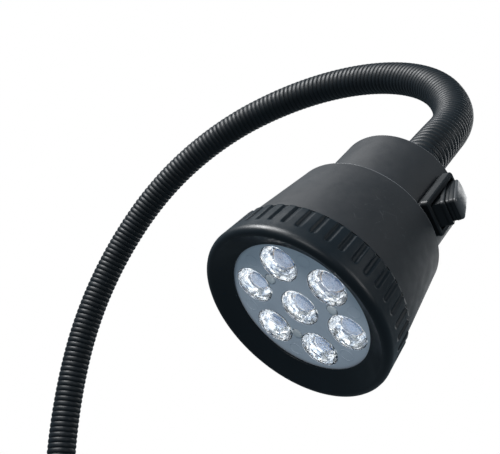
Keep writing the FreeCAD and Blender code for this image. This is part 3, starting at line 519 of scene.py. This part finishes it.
def front_ring():
    """The grooved ring: 44 scooped grooves that run out of its rear edge, a soft lip and the inner shade."""
    per_groove = 16
    count = GROOVE_COUNT * per_groove
    outer = [(28.30, 52.70), (28.62, 52.80), (28.86, 53.05)]
    steps = 30
    outer += [(28.86 + 0.62 * i / steps, 53.2 + 9.6 * i / steps) for i in range(1, steps + 1)]
    lip = [(29.55, 63.5), (29.56, 64.0), (29.42, 64.6), (29.10, 65.15), (28.62, 65.55), (28.1, 65.72),
           (27.7, 65.74), (27.3, 65.62), (26.9, 65.3), (26.5, 64.95)]
    inside = [(24.6, 63.55), (23.4, 62.75), (22.5, 62.2), (22.15, 62.05), (22.05, 61.9), (22.05, 61.45),
              (23.05, 61.45), (23.1, 61.3), (24.2, 61.15), (24.2, 59.45), (26.76, 59.4), (26.76, 52.72)]
    loops = []
    for index, (radius, z) in enumerate(outer + lip + inside):
        grooved = index < len(outer)
        loop = []
        for step in range(count):
            angle = 2 * math.pi * step / count
            from_groove = (step + per_groove / 2) % per_groove - per_groove / 2
            away = from_groove * 2 * math.pi / count * radius
            depth = groove_depth(away, z) if grooved else 0.0
            r = max(radius - depth, min(radius, GROOVE_FLOOR))
            loop.append((r * math.cos(angle), r * math.sin(angle), z))
        loops.append(loop)
    ring = loops_mesh("front_ring_looks", loops, RING, HEAD @ turned(LENS_ANGLE))
    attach(ring, "front_ring")
    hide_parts("front_ring")


# ---------------------------------------------------------------- lens plate

def around_head(radius, first, count):
    """Frames on a circle about the head's axis, in equal steps from a first angle in degrees."""
    angles = [math.radians(first + 360 / count * k) for k in range(count)]
    return [HEAD @ Matrix.Translation((radius * math.cos(a), radius * math.sin(a), 0)) for a in angles]


LENS_PLACES = [HEAD] + around_head(LENS_CIRCLE, LENS_ANGLE, 6)
POST_PLACES = around_head(POST_CIRCLE, POST_ANGLE, 3)
MARK_PLACES = around_head(MARK_CIRCLE, MARK_ANGLE, 6)


def dress_plate_piece(piece):
    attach(piece, "head")


def punch(piece, cutters):
    """Takes the cutters out of the piece, and removes them."""
    for cutter in cutters:
        modifier = piece.modifiers.new("punch", "BOOLEAN")
        modifier.operation = "DIFFERENCE"
        modifier.solver = "EXACT"
        modifier.object = cutter
    bpy.context.view_layer.update()
    graph = bpy.context.evaluated_depsgraph_get()
    mesh = bpy.data.meshes.new_from_object(piece.evaluated_get(graph))
    piece.modifiers.clear()
    piece.data = mesh
    mesh.shade_smooth()
    mesh.set_sharp_from_angle(angle=math.radians(CRISP))
    for cutter in cutters:
        bpy.data.objects.remove(cutter)


def hole_cutter(name, radius, count, place):
    """A plug that reaches past both faces of the plate."""
    rings = [ring_points(radius, z, count) for z in (57, 63)]
    return loops_mesh(name, rings, PLATE, place, False, caps=True)


def frosted_disc():
    """The plate itself, with its seven windows and the holes that the posts come up through."""
    outline = [(0.01, 58.7), (23.8, 58.7), (23.8, 59.75), (22.75, 59.8), (22.75, 61.05), (22.6, 61.2),
               (0.01, 61.2)]
    plate = revolve("lens_plate_looks", outline, PLATE, HEAD, 160, CRISP)
    cutters = [hole_cutter(f"window_cutter_{index}", WINDOW_RADIUS, 72, place)
               for index, place in enumerate(LENS_PLACES)]
    cutters += [hole_cutter(f"post_cutter_{index}", 1.75, 32, place)
                for index, place in enumerate(POST_PLACES)]
    punch(plate, cutters)
    dress_plate_piece(plate)
    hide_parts("lens_plate")


def lens(index, place):
    """One lens: a faceted cup painted bright, its narrow end painted warm and the heart painted blue, all
    three painted reflections, and the window over it.
    """
    rows = 9
    facets = 34
    cup_wall = [(3.45 + 2.5 * (t / rows) ** 0.8, 56.9 + 4.1 * t / rows) for t in range(rows, -1, -1)]
    cup_back = [(3.4, 56.6), (3.9, 56.6), (4.9, 57.6), (5.7, 59.0), (6.0, 60.9)]
    walls = [uneven(ring_points(r, z, facets), row + 40 * index, 0.035)
             for row, (r, z) in enumerate(cup_wall)]
    walls += [ring_points(r, z, facets) for r, z in cup_back]
    tail = [(3.42, 57.0), (3.95, 57.62), (4.1, 57.5), (3.5, 56.8)]
    heart = [(0.01, 56.7), (3.3, 56.7), (3.42, 57.1), (3.34, 57.8), (3.0, 58.5), (2.4, 59.1), (1.6, 59.5),
             (0.8, 59.7), (0.01, 59.76)]
    window = [(0.01, 60.75), (5.9, 60.75), (5.95, 61.1), (5.6, 61.24), (4.4, 61.36), (2.4, 61.46),
              (0.01, 61.5)]
    dress_plate_piece(loops_mesh(f"lens_cup_{index}", walls, CUP, place, True, FACETED))
    dress_plate_piece(revolve(f"lens_tail_{index}", tail, TAIL, place, 48, CRISP))
    dress_plate_piece(revolve(f"lens_heart_{index}", heart, HEART, place, 48, 60))
    dress_plate_piece(revolve(f"lens_window_{index}", window, CLEAR, place, 64, 50))


def post(index, place):
    """The cut end of a clear post between the lenses, painted near white: a painted glint."""
    facets = 12
    outline = [(0.01, 60.9), (1.66, 60.9), (1.7, 61.25), (1.35, 61.45), (0.7, 61.55), (0.01, 61.57)]
    rings = [uneven(ring_points(r, z, facets), 300 + 20 * index + row, 0.12)
             for row, (r, z) in enumerate(outline)]
    dress_plate_piece(loops_mesh(f"lens_post_{index}", rings, POST, place, True, FACETED))


def moulding_mark(index, place):
    """A fine raised circle that the mould leaves near the plate's edge."""
    outline = [(1.92, 61.15), (1.97, 61.27), (2.03, 61.27), (2.08, 61.15)]
    dress_plate_piece(revolve(f"moulding_mark_{index}", outline, PLATE, place, 40))


def lens_plate():
    frosted_disc()
    for make, places in ((lens, LENS_PLACES), (post, POST_PLACES), (moulding_mark, MARK_PLACES)):
        for index, place in enumerate(places):
            make(index, place)


# ---------------------------------------------------------------- rocker switch

def switch_place():
    """The switch's frame: X along the head, Z straight out of its neck."""
    angle = math.radians(SWITCH_ANGLE)
    out = Vector((math.cos(angle), math.sin(angle), 0))
    along = Vector((0, 0, 1))
    side = out.cross(along)
    turn = Matrix((along, side, out)).transposed().to_4x4()
    return HEAD @ Matrix.Translation((0, 0, SWITCH_ALONG)) @ turn


SWITCH = switch_place()
ROCKER = SWITCH @ Matrix.Translation((0, 0, ROCKER_PIVOT)) @ turned(-ROCKER_TILT, "Y")


def arch_height(x, y):
    """The height of the rocker's cap over its pivot: a long arch, and a low one across it."""
    reach = (CAP_HALF_CHORD ** 2 + CAP_RISE ** 2) / (2 * CAP_RISE)
    return CAP_CREST - reach + math.sqrt(reach ** 2 - x ** 2) - 0.02 * y ** 2


def rocker_skirt():
    arch = [(-6.7, -3.3), (-5.7, -3.3), (-3.4, -1.5), (3.4, -1.5), (5.7, -3.3), (6.7, -3.3),
            (6.7, 0.8), (-6.7, 0.8)]
    sides = [[(x, y, z) for x, z in arch] for y in (3.7, -3.7)]
    return loops_mesh("rocker_skirt_looks", sides, SWITCH_BODY, ROCKER, False, CRISP, True)


def rocker_steps():
    steps = [(7.35, 4.1, 1.2, 0.5, 1.85), (6.5, 3.5, 1.0, 1.75, 3.0), (6.8, 3.6, 1.1, 2.9, 4.3)]
    return loops_mesh("rocker_steps_looks", soft_stack(steps, 0.22), SWITCH_BODY, ROCKER, False, 40, True)


def rocker_cap():
    """The cap's upright side, and over it rings on the arch, each of them let down at the rim."""
    rings = [rounded_rectangle(6.75, 3.35, 0.9, 4.2), rounded_rectangle(6.9, 3.5, 1.0, 4.4)]
    for half_x, half_y, corner, drop in ((6.9, 3.5, 1.0, 0.5), (6.84, 3.44, 1.0, 0.22),
                                         (6.62, 3.22, 0.9, 0.05), (6.2, 2.8, 0.8, 0.0),
                                         (4.0, 1.8, 0.6, 0.0), (1.0, 0.5, 0.2, 0.0)):
        flat = rounded_rectangle(half_x, half_y, corner, 0)
        rings.append([(x, y, arch_height(x, y) - drop) for x, y, _ in flat])
    return loops_mesh("rocker_cap_looks", rings, SWITCH_CAP, ROCKER, False, 40, True)


def rocker():
    """The rocker: an arched skirt in the well, dull steps above it and a glossy domed cap."""
    skirt = rocker_skirt()
    steps = rocker_steps()
    cap = rocker_cap()
    for piece in (skirt, steps, cap):
        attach(piece, "rocker")
    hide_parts("switch_rocker")


# ---------------------------------------------------------------- painted highlights on the edges of the housing

def paint_edge_highlights():
    """Paler rings at the rear edge of the neck and at the shoulder: painted highlights where these edges
    catch the light.
    """
    edge = 0.45
    for word, radius, height in (("neck", 21.0, 0.0), ("shoulder", 25.1, 24.5)):
        outline = [(radius - edge - 0.12, height - 0.015), (radius - edge, height - 0.02),
                   (radius - edge * 0.45, height + edge * 0.35), (radius + 0.02, height + edge),
                   (radius + 0.02, height + edge + 0.10), (radius - 0.2, height + edge + 0.10),
                   (radius - edge - 0.12, height + 0.1)]
        piece = revolve(f"{word}_painted_highlight_ring", outline, PAINTED_EDGE_HIGHLIGHT, HEAD, 160)
        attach(piece, "head")


# ---------------------------------------------------------------- stage, lights and camera, in metres

CAMERA_PLACE = Vector((-0.176114, -0.377142, 0.042051))

def area_light(name, place, target, size, power):
    """A soft rectangular lamp that faces its target."""
    light = bpy.data.lights.new(name, "AREA")
    light.shape = "RECTANGLE"
    light.size, light.size_y = size
    light.energy = power
    item = bpy.data.objects.new(name, light)
    item.location = place
    item.rotation_euler = (Vector(target) - Vector(place)).to_track_quat("-Z", "Y").to_euler()
    bpy.context.scene.collection.objects.link(item)


def white_floor():
    """A plain floor that glows a little. Its bounce is left out, or it would grey the blacks."""
    material = plain("pale_floor", (0.86, 0.86, 0.86), 0.6, grain=400.0, variation=0.02)
    glow = material.node_tree.nodes["Principled BSDF"].inputs
    glow["Emission Color"].default_value = (1, 1, 1, 1)
    glow["Emission Strength"].default_value = 0.6
    corners = [(x, y, -0.2) for x, y in ((-4000, -4000), (4000, -4000), (4000, 4000), (-4000, 4000))]
    floor = add_mesh("floor", corners, [(0, 1, 2, 3)], material)
    floor.visible_diffuse = False
    floor.visible_glossy = False


def white_room():
    """White paper behind the object, and a dim bluish room for what the object reflects."""
    world = bpy.data.worlds.new("white_room")
    bpy.context.scene.world = world
    world.use_nodes = True
    tree = world.node_tree
    room = tree.nodes["Background"]
    room.inputs["Color"].default_value = (0.66, 0.86, 1.0, 1)
    room.inputs["Strength"].default_value = 0.22
    paper = tree.nodes.new("ShaderNodeBackground")
    paper.inputs["Color"].default_value = (1.0, 1.0, 1.0, 1)
    path = tree.nodes.new("ShaderNodeLightPath")
    seen = tree.nodes.new("ShaderNodeMixShader")
    tree.links.new(path.outputs["Is Camera Ray"], seen.inputs["Fac"])
    tree.links.new(room.outputs["Background"], seen.inputs[1])
    tree.links.new(paper.outputs["Background"], seen.inputs[2])
    tree.links.new(seen.outputs["Shader"], tree.nodes["World Output"].inputs["Surface"])


def lights():
    """A soft key from above the left, two small lights for the edges, and one that the cap mirrors."""
    middle = (-0.01, -0.2, 0.18)
    head = HEAD.translation * MM
    cap = ROCKER.translation * MM
    sight = (cap - CAMERA_PLACE).normalized()
    face = ROCKER.to_3x3() @ Vector((-0.05, 0, 1)).normalized()
    mirrored = cap + (sight - 2 * sight.dot(face) * face) * 0.9
    area_light("key", (-0.70, -0.10, 1.10), middle, (0.6, 0.6), 32.0)
    area_light("front", (-0.75, -0.65, 0.30), head, (0.14, 0.14), 1.6)
    area_light("side", (0.15, -1.0, 0.25), head, (0.10, 0.30), 1.4)
    area_light("cap", mirrored, cap, (0.6, 0.6), 2.4)


def camera():
    """The photo's view, up at the head from low on its front left."""
    data = bpy.data.cameras.new("camera")
    data.sensor_width = 36.0
    data.lens = 49.15
    data.clip_start = 0.01
    item = bpy.data.objects.new("camera", data)
    right = Vector((0.768984, -0.639028, -0.017493))
    down = Vector((0.265670, 0.344348, -0.900469))
    ahead = Vector((0.581449, 0.687799, 0.434569))
    turn = Matrix((right, -down, -ahead)).transposed().to_4x4()
    item.matrix_world = Matrix.Translation(CAMERA_PLACE) @ turn
    bpy.context.scene.collection.objects.link(item)
    bpy.context.scene.camera = item


dress_arm()
front_ring()
lens_plate()
rocker()
paint_edge_highlights()
white_floor()
white_room()
lights()
camera()
bpy.context.scene.view_settings.view_transform = "Standard"
